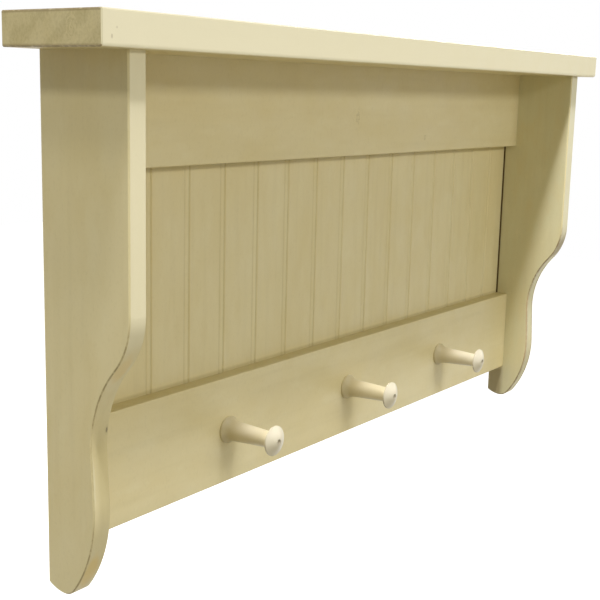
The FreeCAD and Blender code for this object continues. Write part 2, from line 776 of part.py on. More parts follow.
def make_shelf_screws():
    """Four screws down through the shelf into the end panels."""
    form = turned_form("shelf_screw_form", (
        ("0", "screw_head_height"),
        ("screw_head_diameter / 2", "screw_head_height"),
        ("screw_head_diameter / 2", "0"),
        ("screw_shank_diameter / 2", "0"),
        ("screw_shank_diameter / 2", "-screw_length"),
        ("0", "-screw_length"),
    ))
    height = "hanger_drop - plug_length - screw_head_height"
    places = [(x, y, height) for x, y in screw_places()]
    return scatter("shelf_screws", form, places, upright)


def make_plugs():
    """Four wooden plugs, flush with the shelf's top, over the screws."""
    form = turned_form("plug_form", (
        ("0", "0"),
        ("plug_diameter / 2", "0"),
        ("plug_diameter / 2", "-plug_length"),
        ("0", "-plug_length"),
    ))
    places = [(x, y, "hanger_drop") for x, y in screw_places()]
    return scatter("shelf_plugs", form, places, upright)


upright = FreeCAD.Rotation(FreeCAD.Vector(1, 0, 0), 90)


def make_hanger_screws():
    """Four small flat-headed screws, two in each hanger plate."""
    form = turned_form("hanger_screw_form", (
        ("0", "0"),
        ("small_head_diameter / 2", "0"),
        ("small_shank_diameter / 2", "-small_head_height"),
        ("small_shank_diameter / 2", "-small_screw_length"),
        ("0", "-small_screw_length"),
    ))
    places = [
        (x, "0", height)
        for x in ("-hanger_spacing / 2", "hanger_spacing / 2")
        for height in plate_screw_heights("0")
    ]
    return scatter("hanger_screws", form, places)


def make_brads():
    """Two rows of brads through the beadboard into the rails."""
    form = new_body("brad_form")
    section = new_sketch(form, "XZ_Plane", "brad_section")
    rectangle(section, "-brad_width / 2", "brad_width / 2", "-brad_thickness / 2", "brad_thickness / 2")
    pad(form, section, "brad_length", "brad_wire")
    places = [
        (first_brad + " + " + brad_row + " * %d / (brad_count - 1)" % number, "0", underside + " - " + drop)
        for number in range(int(value("brad_count")))
        for drop in brad_drops()
    ]
    return scatter("beadboard_brads", form, places)


def check_and_write(nodes):
    """Stop at anything that failed, then write each sub-part to its own file."""
    doc.recompute()
    for item in doc.Objects:
        if "Invalid" in item.State or "Error" in item.State:
            raise RuntimeError("%s failed: %s" % (item.Name, item.State))
    for node in nodes:
        if node.Shape.isNull() or not node.Shape.isValid():
            raise RuntimeError("%s has no valid shape" % node.Label)
    os.makedirs("parts", exist_ok=True)
    for node in nodes:
        node.Shape.exportStep("parts/%s.step" % node.Label)
        print("%-20s %2d solids %12.1f mm3" % (node.Label, len(node.Shape.Solids), node.Shape.Volume))


check_and_write([
    make_shelf_board(),
    make_end_panel("left_end_panel", "-"),
    make_end_panel("right_end_panel", ""),
    make_top_rail(),
    make_peg_rail(),
    make_beadboard(),
    make_peg("left_peg", "-peg_spacing"),
    make_peg("middle_peg", "0"),
    make_peg("right_peg", "peg_spacing"),
    make_dowels(),
    make_shelf_screws(),
    make_plugs(),
    make_hanger_plate("left_hanger_plate", "-"),
    make_hanger_plate("right_hanger_plate", ""),
    make_hanger_screws(),
    make_brads(),
])
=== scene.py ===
import math

import bpy
from mathutils import Matrix, Vector


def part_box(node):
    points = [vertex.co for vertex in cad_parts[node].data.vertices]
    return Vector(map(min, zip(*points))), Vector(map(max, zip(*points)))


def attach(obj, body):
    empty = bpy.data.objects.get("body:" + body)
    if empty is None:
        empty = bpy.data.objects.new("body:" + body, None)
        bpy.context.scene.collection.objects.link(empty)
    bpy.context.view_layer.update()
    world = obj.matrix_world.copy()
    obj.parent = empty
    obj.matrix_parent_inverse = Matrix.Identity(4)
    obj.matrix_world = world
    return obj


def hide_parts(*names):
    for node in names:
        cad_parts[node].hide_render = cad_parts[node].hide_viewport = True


# A painted pine wall shelf with a beadboard back and three turned pegs.
# Metres; +X right, -Y front, +Z up; the wall is the plane Y = 0.

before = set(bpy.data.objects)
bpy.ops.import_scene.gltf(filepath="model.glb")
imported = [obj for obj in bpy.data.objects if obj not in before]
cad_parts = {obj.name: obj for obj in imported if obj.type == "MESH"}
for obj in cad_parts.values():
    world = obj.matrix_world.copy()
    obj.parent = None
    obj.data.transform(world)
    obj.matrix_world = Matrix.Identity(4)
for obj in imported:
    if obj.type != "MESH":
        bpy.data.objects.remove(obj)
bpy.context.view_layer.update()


def colour(red, green, blue):
    """A colour given as it shows on a screen, 0 to 255, as linear RGBA."""
    def linear(level):
        share = level / 255
        return share / 12.92 if share <= 0.04045 else ((share + 0.055) / 1.055) ** 2.4

    return (linear(red), linear(green), linear(blue), 1.0)


cream = colour(228, 215, 169)
# painted shade colour: a greener cream for the right panel, standing for the cooler light in its shade
greener_shade_cream = colour(219, 213, 174)
# painted light: a paler cream for front faces and the left waist, where the light falls strongest
painted_light_cream = colour(239, 232, 201)
peg_cream = colour(220, 210, 182)
# painted light: a paler cream for the pegs' heads, standing for the light falling on them
peg_head_light_cream = colour(222, 213, 188)
aged_cream = colour(220, 203, 148)
pale_cream = colour(234, 224, 184)
# a dull olive for streaks, flecks, grain and knots, and also for painted shade under the shelf, on ledges
# and edges, beside the rails and at the pegs' feet
olive_and_shade = colour(176, 161, 106)
# the tone of paint rubbed through, also used for painted shade on down-facing edges, below the peg rail and
# round the pegs' heads
rubbed_and_shade = colour(138, 114, 68)
bare_tan = colour(228, 203, 132)
rust_mark = colour(176, 118, 78)
# dark filler and dirt, also used for painted shade in the gaps beside the beadboard
grime_and_shade = colour(104, 84, 48)
pine = colour(222, 186, 132)
pine_ring = colour(186, 138, 82)
beech = colour(205, 168, 118)
zinc = colour(184, 185, 184)
yellow_zinc = colour(196, 180, 126)
wire = colour(150, 150, 148)

# Relief of the finishes, from their lowest to their highest point
brush_mark_depth = 0.00007
bare_wood_depth = 0.0001
plate_grain_depth = 0.00003

# Places and sizes, most of them from the pieces' own boxes; a front is a distance from the wall
shelf_low, shelf_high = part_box("shelf_board")
shelf_end = shelf_high.x
shelf_front = -shelf_low.y
shelf_top = shelf_high.z
shelf_underside = shelf_low.z

panel_low, panel_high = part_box("right_end_panel")
panel_inside = panel_low.x
panel_middle = (panel_low.x + panel_high.x) / 2
panel_half_thickness = (panel_high.x - panel_low.x) / 2
panel_front = -panel_low.y

peg_rail_low, peg_rail_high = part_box("peg_rail")
rail_front = -peg_rail_low.y
peg_rail_top = peg_rail_high.z
peg_rail_foot = peg_rail_low.z
top_rail_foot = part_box("top_rail")[0].z

board_low, board_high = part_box("beadboard_panel")
board_front = -board_low.y
board_end = board_high.x
board_head = board_high.z
board_foot = board_low.z

peg_low, peg_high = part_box("middle_peg")
peg_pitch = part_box("right_peg")[1].x - peg_high.x
peg_height = (peg_low.z + peg_high.z) / 2
peg_tip = -peg_low.y
peg_head_radius = peg_high.x
dimple_radius = 0.0026

plate_low, plate_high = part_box("right_hanger_plate")
screws_low, screws_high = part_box("hanger_screws")
hanger_offset = (plate_low.x + plate_high.x) / 2
hanger_screw_inset = 0.005
hanger_screw_heights = (plate_low.z + hanger_screw_inset, plate_high.z - hanger_screw_inset)
screw_head_radius = screws_high.x - hanger_offset
screw_length = -screws_low.y
screw_shank_radius = 0.0015
screw_head_height = 0.0015


# Node tree helpers

class Graph:
    """A node material under construction."""

    def __init__(self, name):
        self.material = bpy.data.materials.new(name)
        self.material.use_nodes = True
        self.tree = self.material.node_tree
        self.tree.nodes.clear()
        self.seed = 0.0

    def add(self, kind, inputs=None, **settings):
        """A node with its settings and with values or sockets at its inputs."""
        node = self.tree.nodes.new(kind)
        for name, setting in settings.items():
            setattr(node, name, setting)
        for key, value in (inputs or {}).items():
            if isinstance(value, bpy.types.NodeSocket):
                self.tree.links.new(value, node.inputs[key])
            else:
                node.inputs[key].default_value = value
        return node

    def math(self, operation, *values):
        node = self.add("ShaderNodeMath", dict(enumerate(values)), operation=operation)
        return node.outputs[0]

    def times(self, first, *others):
        for other in others:
            first = self.math("MULTIPLY", first, other)
        return first

    def plus(self, first, *others):
        for other in others:
            first = self.math("ADD", first, other)
        return first

    def without(self, mask):
        return self.math("SUBTRACT", 1.0, mask)

    def mix(self, share, first, second):
        node = self.add("ShaderNodeMix", data_type="RGBA")
        for socket, value in ((node.inputs[0], share), (node.inputs[6], first), (node.inputs[7], second)):
            if isinstance(value, bpy.types.NodeSocket):
                self.tree.links.new(value, socket)
            else:
                socket.default_value = value
        return node.outputs[2]

    def between(self, share, first, second):
        """A value between two others."""
        node = self.add("ShaderNodeMix", {0: share, 2: first, 3: second}, data_type="FLOAT")
        return node.outputs[0]

    def spread(self, value, low, high, to_low=0.0, to_high=1.0):
        """A value's range from low to high, spread smoothly over another range."""
        node = self.add("ShaderNodeMapRange", {0: value, 1: low, 2: high, 3: to_low, 4: to_high})
        node.interpolation_type = "SMOOTHSTEP"
        return node.outputs[0]

    def window(self, value, low, high, soft):
        """1 where the value lies from low to high, falling to 0 over soft."""
        rise = self.spread(value, low - soft, low)
        fall = self.spread(value, high, high + soft, 1.0, 0.0)
        return self.times(rise, fall)

    def place(self):
        """Where a point of the object lies, in metres."""
        return self.add("ShaderNodeTexCoord").outputs["Object"]

    def parts(self, vector=None):
        node = self.add("ShaderNodeSeparateXYZ", {0: vector or self.place()})
        return node.outputs[0], node.outputs[1], node.outputs[2]

    def facing(self):
        """The three parts of the face's own direction."""
        return self.parts(self.add("ShaderNodeNewGeometry").outputs["True Normal"])

    def noise(self, stretch, detail=3.0, roughness=0.5, distortion=0.0):
        """Noise whose features per metre along each axis are given by stretch. Each call differs."""
        self.seed += 1.7
        moved = self.add("ShaderNodeMapping", {
            "Vector": self.place(), "Scale": stretch,
            "Location": (self.seed, 2 * self.seed, 3 * self.seed),
        })
        node = self.add("ShaderNodeTexNoise", {
            "Vector": moved.outputs[0], "Scale": 1.0, "Detail": detail,
            "Roughness": roughness, "Distortion": distortion,
        })
        return node.outputs["Fac"]

    def distance(self, centre, stretch):
        """The distance from a centre, counted in stretch units per metre along each axis."""
        moved = self.add("ShaderNodeVectorMath", {0: self.place(), 1: centre}, operation="SUBTRACT")
        scaled = self.add("ShaderNodeVectorMath", {0: moved.outputs[0], 1: stretch}, operation="MULTIPLY")
        return self.add("ShaderNodeVectorMath", {0: scaled.outputs[0]}, operation="LENGTH").outputs["Value"]

    def spot(self, centre, radii, soft=0.5):
        """1 within an ellipsoid about the centre, fading out over the soft share of its radii."""
        stretch = tuple(1 / radius for radius in radii)
        return self.spread(self.distance(centre, stretch), 1 - soft, 1.0, 1.0, 0.0)

    def relief(self, height, depth):
        """A bumped normal, from a height of 0 to 1 that stands for a depth in metres."""
        node = self.add("ShaderNodeBump", {"Strength": 1.0, "Distance": depth, "Height": height})
        return node.outputs["Normal"]

    def surface(self, **inputs):
        """The finished shader."""
        named = {name.replace("_", " "): value for name, value in inputs.items()}
        shader = self.add("ShaderNodeBsdfPrincipled", named)
        self.add("ShaderNodeOutputMaterial", {0: shader.outputs[0]})
        return self.material


def along_grain(grain, run, across):
    """Noise stretch with long features along the grain's axis, x, y or z."""
    return tuple(run if axis == grain else across for axis in "xyz")


def paint_coat(graph, grain, tone=cream):
    """Brushed satin paint over pine: its colour, and its height from 0 to 1."""
    cloud = graph.noise(along_grain(grain, 5, 15), detail=4, roughness=0.6)
    patch = graph.noise(along_grain(grain, 18, 44), detail=4, roughness=0.6)
    fleck = graph.noise((420, 420, 260), detail=2)
    streak = graph.noise(along_grain(grain, 6, 110), detail=3, roughness=0.5)
    brush = graph.noise(along_grain(grain, 24, 900), detail=2)
    coat = graph.mix(graph.spread(cloud, 0.38, 0.66, 0.0, 0.4), tone, aged_cream)
    coat = graph.mix(graph.spread(patch, 0.5, 0.72, 0.0, 0.3), coat, aged_cream)
    coat = graph.mix(graph.spread(patch, 0.28, 0.46, 0.3, 0.0), coat, pale_cream)
    coat = graph.mix(graph.spread(streak, 0.46, 0.74, 0.0, 0.07), coat, olive_and_shade)
    coat = graph.mix(graph.spread(fleck, 0.52, 0.74, 0.0, 0.07), coat, olive_and_shade)
    height = graph.plus(graph.times(streak, 0.3), graph.times(brush, 0.4), graph.times(fleck, 0.3))
    return coat, height


def pine_wood(graph, grain):
    """Bare pine, its rings as contour lines drawn out along the grain:
    its colour, and its height from 0 to 1."""
    contour = graph.noise(along_grain(grain, 1.3, 13), detail=2, roughness=0.4, distortion=0.3)
    rings = graph.math("SINE", graph.times(contour, 120.0))
    pore = graph.noise(along_grain(grain, 22, 1500), detail=3)
    cloud = graph.noise(along_grain(grain, 3, 12), detail=3)
    wood = graph.mix(graph.spread(rings, 0.1, 1.0, 0.0, 0.34), pine, pine_ring)
    wood = graph.mix(graph.spread(pore, 0.5, 0.75, 0.0, 0.25), wood, pine_ring)
    wood = graph.mix(graph.spread(cloud, 0.35, 0.7, 0.0, 0.5), wood, beech)
    return wood, graph.plus(graph.times(rings, 0.2), graph.times(pore, 0.6))


def rub_and_shade(graph, coat, mask, depth=0.72):
    """Paint rubbed through where the mask is strong, unevenly; some calls use it to lay painted shade."""
    ragged = graph.noise((150, 150, 150), detail=4, roughness=0.65)
    mark_share = graph.times(mask, graph.spread(ragged, 0.36, 0.56, 0.35, 1.0))
    return graph.mix(graph.times(mark_share, depth), coat, rubbed_and_shade)


def bare_back(graph, coat, height, grain):
    """The wall side left as bare pine, with stray patches of paint."""
    wood, pores = pine_wood(graph, grain)
    toward_wall = graph.spread(graph.facing()[1], 0.6, 0.8)
    stray = graph.noise((16, 16, 16), detail=5, roughness=0.7)
    bare = graph.times(toward_wall, graph.spread(stray, 0.25, 0.29))
    return graph.mix(bare, coat, wood), graph.between(bare, height, pores)


def satin(graph, coat, height, low=0.36, high=0.52):
    """The coat with an uneven satin gloss, from low to high roughness, and its brushed relief."""
    sheen = graph.noise((60, 60, 40), detail=3)
    return graph.surface(Base_Color=coat, Roughness=graph.spread(sheen, 0.3, 0.7, low, high),
                         Normal=graph.relief(height, brush_mark_depth))


def shelf_paint():
    """Paint on the shelf: painted light on its front, painted shade below, and thin over the end grain."""
    graph = Graph("shelf_paint")
    coat, height = paint_coat(graph, "x")
    across, ahead, up = graph.facing()
    sideways = graph.math("ABSOLUTE", across)
    # painted light: the front faces paler
    coat = graph.mix(graph.spread(ahead, -0.66, -0.4, 0.75, 0.0), coat, painted_light_cream)
    # painted shade: the downward faces darker
    coat = graph.mix(graph.spread(up, -0.9, -0.6, 0.25, 0.0), coat, olive_and_shade)

    # end grain: rings cut across, swirling round a knot on the left end
    on_end = graph.spread(sideways, 0.88, 0.96)
    rings = graph.add("ShaderNodeTexWave", {
        "Vector": graph.place(), "Scale": 17.0, "Distortion": 6.0,
        "Detail": 3.0, "Detail Scale": 1.4, "Detail Roughness": 0.6,
    }, wave_type="BANDS", bands_direction="DIAGONAL").outputs["Fac"]
    knot = graph.distance((-shelf_end, -0.075, 0.0616), (0.0, 1 / 0.0048, 1 / 0.0105))
    swirl = graph.plus(knot, graph.times(graph.noise((170, 170, 420), detail=3, roughness=0.6), 1.7))
    loops = graph.math("SINE", graph.times(swirl, 10.0))
    near_knot = graph.spread(knot, 0.8, 1.5, 1.0, 0.0)
    figure = graph.between(near_knot, rings, graph.spread(loops, -1.0, 1.0))
    mottle = graph.noise((520, 520, 420), detail=4, roughness=0.7)
    figure_share = graph.times(graph.spread(figure, 0.3, 1.0), 0.6)
    mottle_share = graph.times(graph.spread(mottle, 0.4, 0.65), 0.5)
    pores = graph.plus(figure_share, mottle_share)
    coat = graph.mix(graph.times(on_end, graph.plus(graph.times(pores, 0.4), 0.11)), coat, olive_and_shade)
    height = graph.between(on_end, height, graph.without(pores))
    level = graph.parts()[2]
    # a rubbed line along the end's top edge, and painted shade along its lower edge
    upper_line = graph.spread(level, shelf_top - 0.0028, shelf_top - 0.0012, 0.0, 0.55)
    lower_line = graph.spread(level, shelf_underside + 0.0014, shelf_underside + 0.0028, 0.45, 0.0)
    coat = graph.mix(graph.times(on_end, graph.plus(upper_line, lower_line)), coat, rubbed_and_shade)

    # rubbed arrises along the ends' upper edges, with the same tone as painted shade along their lower edges
    chamfer = graph.window(sideways, 0.5, 0.86, 0.06)
    lengthwise = graph.spread(graph.math("ABSOLUTE", up), 0.3, 0.5)
    coat = rub_and_shade(graph, coat, graph.times(chamfer, lengthwise), 0.8)
    # painted shade: the front's upright arrises lightly darkened
    upright = graph.spread(ahead, -0.6, -0.4, 0.15, 0.0)
    coat = graph.mix(graph.times(chamfer, upright), coat, olive_and_shade)

    # small knocks on the front near the left end
    ticks = ((-0.4473, 0.0557, 0.0021, 0.33), (-0.4423, 0.0621, 0.0011, 0.22))
    for x, z, tall, strength in ticks:
        tick = graph.spot((x, -shelf_front, z), (0.0012, 0.002, tall))
        coat = graph.mix(graph.times(tick, strength), coat, rubbed_and_shade)
    coat, height = bare_back(graph, coat, height, "x")
    return satin(graph, coat, height)


def panel_paint():
    """Paint on the end panels, rubbed along the arrises and worn on the scrolled edges, with painted light
    and shade on some edges and faces.
    """
    graph = Graph("panel_paint")
    x, depth, z = graph.parts()
    # painted shade colour: the right panel tinted greener
    coat, height = paint_coat(graph, "z", graph.mix(graph.spread(x, -0.1, 0.1), cream, greener_shade_cream))
    sideways = graph.math("ABSOLUTE", graph.facing()[0])
    # painted light: the straight front edges paler
    edge = graph.spread(depth, -panel_front + 0.002, -panel_front + 0.008, 0.55, 0.0)
    coat = graph.mix(graph.times(edge, graph.spread(sideways, 0.3, 0.6, 1.0, 0.0)), coat, painted_light_cream)

    # the front edge runs straight down, then round a shoulder and a cove to a leaning waist
    straight_end = -0.1535
    waist_head, waist_foot = -0.272, -0.315
    scrolled = graph.spread(z, straight_end - 0.0245, straight_end + 0.0075, 1.0, 0.0)

    # the rubbed line runs along the middle of each arris's narrow bevel
    from_middle = graph.math("ABSOLUTE", graph.math("SUBTRACT", graph.math("ABSOLUTE", x), panel_middle))
    line = graph.window(from_middle, panel_half_thickness - 0.0009, panel_half_thickness - 0.0003, 0.00025)
    bevel = graph.window(sideways, 0.5, 0.86, 0.06)
    bare_share = graph.spread(x, -0.1, 0.1, 0.1, 0.45)
    coat = graph.mix(graph.times(line, bevel, graph.without(scrolled), bare_share), coat, bare_tan)
    polished = graph.window(z, waist_foot - 0.010, waist_head + 0.010, 0.02)
    unpolished = graph.without(graph.times(polished, 0.6))
    coat = rub_and_shade(graph, coat, graph.times(line, bevel, scrolled, unpolished), 0.62)
    on_right = graph.spread(x, -0.1, 0.1)
    inner, outer = panel_half_thickness - 0.0040, panel_half_thickness - 0.0001
    near_arris = graph.window(from_middle, inner, outer, 0.0008)
    wide_line = graph.times(near_arris, graph.spread(sideways, 0.84, 0.92, 1.0, 0.0))
    about_waist = graph.window(z, waist_foot - 0.030, waist_head + 0.022, 0.02)
    fading = graph.without(graph.times(about_waist, 0.6))
    coat = rub_and_shade(graph, coat, graph.times(wide_line, scrolled, on_right, fading), 0.75)
    rusty = graph.window(z, waist_foot - 0.025, waist_head + 0.010, 0.02)
    coat = graph.mix(graph.times(line, bevel, on_right, rusty, 0.5), coat, rust_mark)

    # the scrolled edges: tan below the left shoulder and about its toe, with painted light at the left waist
    # and painted shade on the right shoulder
    on_edge = graph.spread(sideways, 0.2, 0.5, 1.0, 0.0)
    for place, radii, share, tone in (
        ((-0.413, -0.080, -0.200), (0.013, 0.020, 0.034), 0.65, bare_tan),
        ((-0.413, -0.041, -0.380), (0.014, 0.024, 0.040), 0.85, bare_tan),
        ((-0.4215, -0.056, -0.295), (0.006, 0.020, 0.046), 0.5, painted_light_cream),
        ((panel_middle, -0.088, -0.180), (0.014, 0.016, 0.034), 0.7, rubbed_and_shade),
    ):
        rough = graph.noise((130, 130, 130), detail=3)
        ragged = graph.plus(graph.spot(place, radii, 0.9), graph.times(rough, 0.4))
        mark_share = graph.spread(ragged, 0.4, 1.0, 0.0, share)
        coat = graph.mix(graph.times(mark_share, on_edge), coat, tone)

    # painted shade: the left waist darker towards the rail
    toward_rail = graph.times(graph.spread(x, -0.420, -0.411), graph.without(on_right), on_edge)
    at_waist = graph.window(z, waist_foot - 0.003, waist_head + 0.002, 0.035)
    coat = graph.mix(graph.times(toward_rail, at_waist, 0.5), coat, olive_and_shade)

    # a filled nail hole with its ring in the left edge, and a scuff on the right panel
    hole = (-0.4047, -0.0526, -0.2530)
    ring = graph.spot(hole, (0.003, 0.010, 0.0060), 0.5)
    coat = graph.mix(graph.times(ring, 0.25), coat, olive_and_shade)
    nail = graph.spot(hole, (0.0013, 0.010, 0.0032), 0.6)
    coat = graph.mix(graph.times(nail, 0.8), coat, grime_and_shade)
    scuff = graph.spot((panel_inside, -0.0594, -0.3243), (0.002, 0.005, 0.0018), 0.6)
    coat = graph.mix(graph.times(scuff, 0.6), coat, rust_mark)

    # the gap beside the beadboard darkened: unpainted wood with dirt, and painted shade that reaches a
    # little in front of the board
    behind = graph.spread(depth, -board_front - 0.0018, -board_front - 0.001)
    inside = graph.spread(sideways, 0.9, 0.97)
    reach = graph.math("ABSOLUTE", x)
    on_inside = graph.spread(reach, panel_inside + 0.0002, panel_inside + 0.0006, 1.0, 0.0)
    beside_board = graph.window(z, peg_rail_top - 0.001, top_rail_foot + 0.001, 0.002)
    coat = graph.mix(graph.times(behind, inside, on_inside, beside_board), coat, grime_and_shade)

    # painted shadow of the peg rail on the panels' inner faces below it
    at_back = graph.spread(depth, -rail_front - 0.003, -rail_front + 0.005)
    below_rail = graph.spread(z, peg_rail_foot - 0.0075, peg_rail_foot + 0.0015, 1.0, 0.0)
    coat = graph.mix(graph.times(at_back, below_rail, inside, on_inside, 0.6), coat, rubbed_and_shade)
    coat, height = bare_back(graph, coat, height, "z")
    return satin(graph, coat, height)


def rail_paint():
    """Paint on the two rails, with faint knots showing through and painted shade on the ledge over the pegs.
    """
    graph = Graph("rail_paint")
    coat, height = paint_coat(graph, "x")
    knots = ((0.0031, -0.0067, 0.013), (0.1504, -0.0299, 0.007))
    for x, z, reach in knots:
        knot = graph.distance((x, -rail_front, z), (1.5 / reach, 0.4 / reach, 1 / reach))
        stir = graph.noise((300, 300, 300), detail=4, roughness=0.7)
        wavy = graph.plus(knot, graph.times(stir, 1.4))
        loops = graph.spread(graph.math("SINE", graph.times(wavy, 8.0)), 0.0, 1.0)
        coat = graph.mix(graph.times(graph.spread(knot, 0.4, 1.2, 0.34, 0.0), loops), coat, olive_and_shade)
    # painted shade on the peg rail's ledge
    faces_up = graph.spread(graph.facing()[2], 0.5, 0.9)
    on_peg_rail = graph.spread(graph.parts()[2], -0.2, -0.1, 1.0, 0.0)
    coat = graph.mix(graph.times(faces_up, on_peg_rail, 0.55), coat, olive_and_shade)
    coat, height = bare_back(graph, coat, height, "x")
    return satin(graph, coat, height)


def beadboard_paint():
    """Paint on the beadboard, with painted shade in the grooves, beside the rails and on the tongues past
    its ends.
    """
    graph = Graph("beadboard_paint")
    coat, height = paint_coat(graph, "z")
    x, depth, z = graph.parts()
    # painted shade in the grooves
    sunk = graph.spread(depth, -board_front + 0.00035, -board_front + 0.0008)
    near_face = graph.spread(depth, -board_front + 0.0014, -board_front + 0.0020, 1.0, 0.0)
    groove_shade = graph.spread(x, -0.2, 0.3, 0.24, 0.08)
    coat = graph.mix(graph.times(sunk, near_face, groove_shade), coat, olive_and_shade)
    # painted shadow below the top rail and above the peg rail
    below_top_rail = graph.spread(z, top_rail_foot - 0.0075, top_rail_foot - 0.0020)
    above_peg_rail = graph.spread(z, peg_rail_top + 0.0015, peg_rail_top + 0.0050, 1.0, 0.0)
    beside_rails = graph.plus(below_top_rail, above_peg_rail)
    coat = graph.mix(graph.times(beside_rails, 0.45), coat, olive_and_shade)
    # painted shade on the tongues in the gaps
    past_board = graph.spread(graph.math("ABSOLUTE", x), board_end, board_end + 0.0001)
    coat = graph.mix(graph.times(past_board, 0.9), coat, grime_and_shade)
    coat, height = bare_back(graph, coat, height, "z")
    return satin(graph, coat, height)


def peg_paint():
    """Paint on the turned pegs, with the lathe's rings, a dark dimple in each head, painted light on the
    heads and painted shade at their rims and feet.
    """
    graph = Graph("peg_paint")
    coat, height = paint_coat(graph, "y", peg_cream)
    x, depth, z = graph.parts()
    nearest_peg = graph.times(graph.math("ROUND", graph.times(x, 1 / peg_pitch)), peg_pitch)
    aside = graph.math("SUBTRACT", x, nearest_peg)
    above = graph.math("SUBTRACT", z, peg_height)
    squares = graph.plus(graph.math("POWER", aside, 2.0), graph.math("POWER", above, 2.0))
    radius = graph.math("SQRT", squares)
    rings = graph.noise((25, 2600, 25), detail=2)
    height = graph.plus(graph.times(height, 0.6), graph.times(rings, 0.4))
    # painted light: the heads paler than the shafts
    at_head = graph.spread(depth, -peg_tip + 0.0085, -peg_tip + 0.0105, 0.85, 0.0)
    coat = graph.mix(at_head, coat, peg_head_light_cream)
    at_tip = graph.spread(depth, -peg_tip, -peg_tip + 0.004, 1.0, 0.0)
    in_dimple = graph.spread(radius, dimple_radius - 0.0003, dimple_radius + 0.0007, 1.0, 0.0)
    coat = graph.mix(graph.times(at_tip, in_dimple, 0.55), coat, grime_and_shade)
    # painted shade round the head's rim, strongest on its lower side
    rim = graph.spread(radius, peg_head_radius - 0.0005, peg_head_radius - 0.0001)
    low_side = graph.spread(z, peg_height - 0.008, peg_height + 0.004, 1.0, 0.3)
    coat = rub_and_shade(graph, coat, graph.times(rim, low_side))
    # painted shadow darkening each peg towards its foot
    toward_foot = graph.spread(depth, -rail_front - 0.021, -rail_front - 0.003, 0.0, 0.42)
    coat = graph.mix(toward_foot, coat, olive_and_shade)
    return satin(graph, coat, height, low=0.3, high=0.44)


def bare_beech():
    """The dowels, as they come."""
    graph = Graph("bare_wood")
    wood, pores = pine_wood(graph, "x")
    fleck = graph.noise((300, 1400, 1400), detail=2)
    wood = graph.mix(graph.spread(fleck, 0.45, 0.7, 0.4, 0.8), wood, beech)
    return graph.surface(Base_Color=wood, Roughness=0.6, Normal=graph.relief(pores, bare_wood_depth))


def plated(name, tone, grain):
    """Metal with fine brushing, a mottled bloom and specks of dirt."""
    graph = Graph(name)
    bloom = graph.noise((170, 170, 170), detail=4, roughness=0.6)
    brushed = graph.noise(along_grain(grain, 60, 5200), detail=2)
    spots = graph.noise((900, 900, 900), detail=3, roughness=0.7)
    metal = graph.mix(graph.spread(bloom, 0.35, 0.7, 0.0, 0.4), tone, wire)
    metal = graph.mix(graph.spread(spots, 0.66, 0.74, 0.0, 0.7), metal, rubbed_and_shade)
    gloss = graph.plus(graph.spread(bloom, 0.3, 0.7, 0.28, 0.42), graph.times(brushed, 0.12))
    return graph.surface(Base_Color=metal, Metallic=1.0, Roughness=gloss,
                         Normal=graph.relief(brushed, plate_grain_depth))


def give(material, *nodes):
    """Give CAD pieces their one material."""
    for node in nodes:
        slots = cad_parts[node].data.materials
        slots.clear()
        slots.append(material)


give(shelf_paint(), "shelf_board", "shelf_plugs")
give(panel_paint(), "left_end_panel", "right_end_panel")
give(rail_paint(), "top_rail", "peg_rail")
board_coat = beadboard_paint()
give(board_coat, "beadboard_panel")
give(peg_paint(), "left_peg", "middle_peg", "right_peg")
give(bare_beech(), "rail_dowels")
give(plated("hanger_steel", zinc, "z"), "left_hanger_plate", "right_hanger_plate")
give(plated("brad_steel", wire, "x"), "beadboard_brads")
screw_steel = plated("screw_steel", yellow_zinc, "x")
give(screw_steel, "shelf_screws", "hanger_screws")


def add_mesh(name, corners, faces, material):
    """A mesh object of one material, in the scene."""
    mesh = bpy.data.meshes.new(name)
    mesh.from_pydata(corners, [], faces)
    mesh.update()
    mesh.materials.append(material)
    item = bpy.data.objects.new(name, mesh)
    bpy.context.scene.collection.objects.link(item)
    return item


# Hanger screws with cross recesses

recess_arm = 0.0017
recess_half_width = 0.00036
recess_depth = 0.0011


def cross_reach(angle):
    """How far the recess reaches from its middle in a direction."""
    aside = (angle + math.pi / 4) % (math.pi / 2) - math.pi / 4
    arm_limit = recess_arm / math.cos(aside)
    width_limit = recess_half_width / abs(math.sin(aside)) if abs(aside) > 1e-6 else arm_limit
    return min(arm_limit, width_limit)


def cross_screw(x, z):
    """One small flat-headed screw, driven from behind; its head lies in the plane of the wall."""
    steps = 48
    edge_break, rim_break, rim_drop = 0.00006, 0.00004, 0.00018
    tip_radius, tip_length = 0.0001, 0.003
    turn = math.radians(17) if z > 0 else math.radians(-38)

    # each ring's share of the recess's reach, the radius added to that, and the ring's depth
    rings = (
        (0.0, 2 * tip_radius, -recess_depth),
        (0.55, 0.0, -0.9 * recess_depth),
        (1.0, 0.0, -edge_break),
        (1.05, edge_break, 0.0),
        (0.0, 0.82 * screw_head_radius, 0.0),
        (0.0, 0.96 * screw_head_radius, -rim_break),
        (0.0, screw_head_radius, -rim_drop),
        (0.0, screw_shank_radius, -screw_head_height),
        (0.0, screw_shank_radius, tip_length - screw_length),
        (0.0, tip_radius, -screw_length),
    )
    corners = []
    for share, added, depth in rings:
        for step in range(steps):
            angle = 2 * math.pi * step / steps
            radius = share * cross_reach(angle) + added
            corners.append((x + radius * math.cos(angle + turn), depth, z + radius * math.sin(angle + turn)))
    faces = []
    for ring in range(len(rings) - 1):
        near, far = ring * steps, (ring + 1) * steps
        for step in range(steps):
            after = (step + 1) % steps
            faces.append((near + step, near + after, far + after, far + step))
    faces.append(tuple(range(steps))[::-1])
    faces.append(tuple((len(rings) - 1) * steps + step for step in range(steps)))
    return corners, faces


